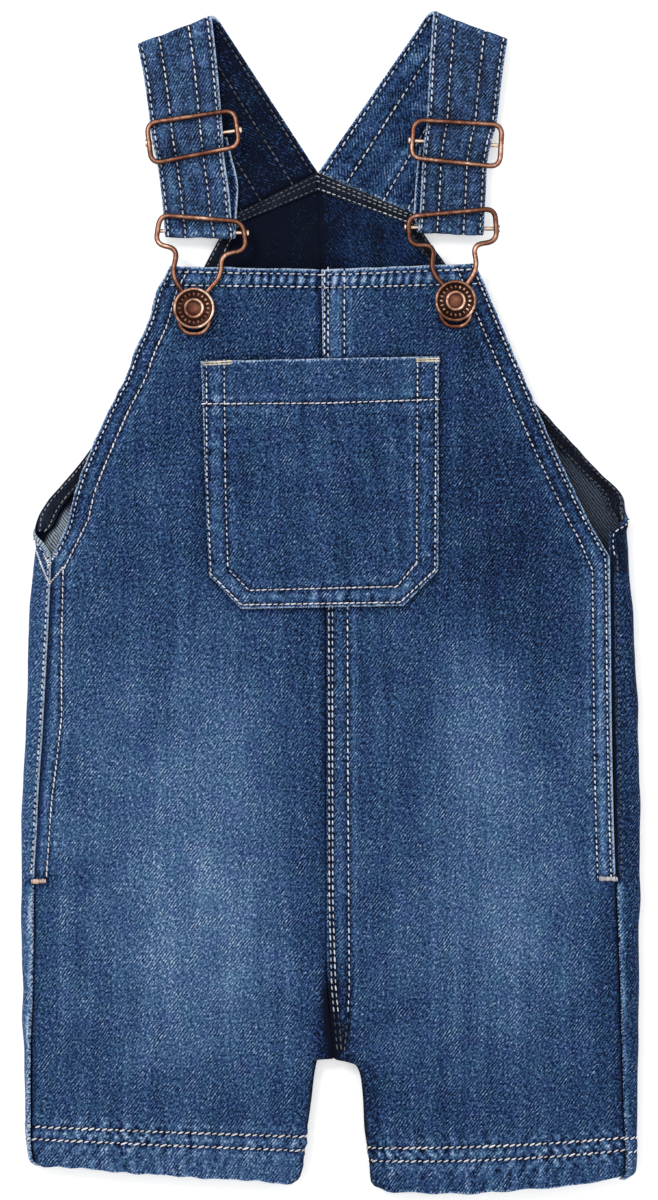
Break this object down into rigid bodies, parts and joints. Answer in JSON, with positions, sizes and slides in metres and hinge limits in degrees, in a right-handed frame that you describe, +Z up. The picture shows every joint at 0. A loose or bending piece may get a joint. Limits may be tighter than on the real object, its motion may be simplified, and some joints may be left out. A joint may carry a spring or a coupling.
{
  "type": "kids dungarees",
  "caption": "Child's short denim dungarees laid flat on their back: bib with patch pocket, open legs, straps folded at the shoulder through wire sliders and button hooks.",
  "frame": {"origin": "on the surface the garment lies on, in the middle of its outline", "axes": "+Y runs from the leg hems to the shoulders, +Z is up off the surface, out of the front; +X is across the garment, towards the wearer's left, and a name ending in left is at -X, the left as seen from the front"},
  "size_m": [0.2605, 0.4973, 0.0142],
  "materials": {
    "denim": "mid-indigo twill, faded at folds and hems",
    "facing_denim": "dark unfaded indigo twill",
    "copper": "antique copper plate, rubbed bright on raised edges"
  },
  "bodies": {
    "root": {"back_panel_left": "denim", "back_panel_right": "denim", "front_panel_left": "denim", "front_panel_right": "denim", "armhole_facing_left": "facing_denim", "armhole_facing_right": "facing_denim", "neck_facing_left": "facing_denim", "neck_facing_right": "facing_denim", "pocket": "denim", "strap_left": "denim", "strap_right": "denim", "slider_left": "copper", "slider_right": "copper", "hook_left": "copper", "hook_right": "copper", "button_left": "copper", "button_right": "copper"}
  },
  "joints": []
}
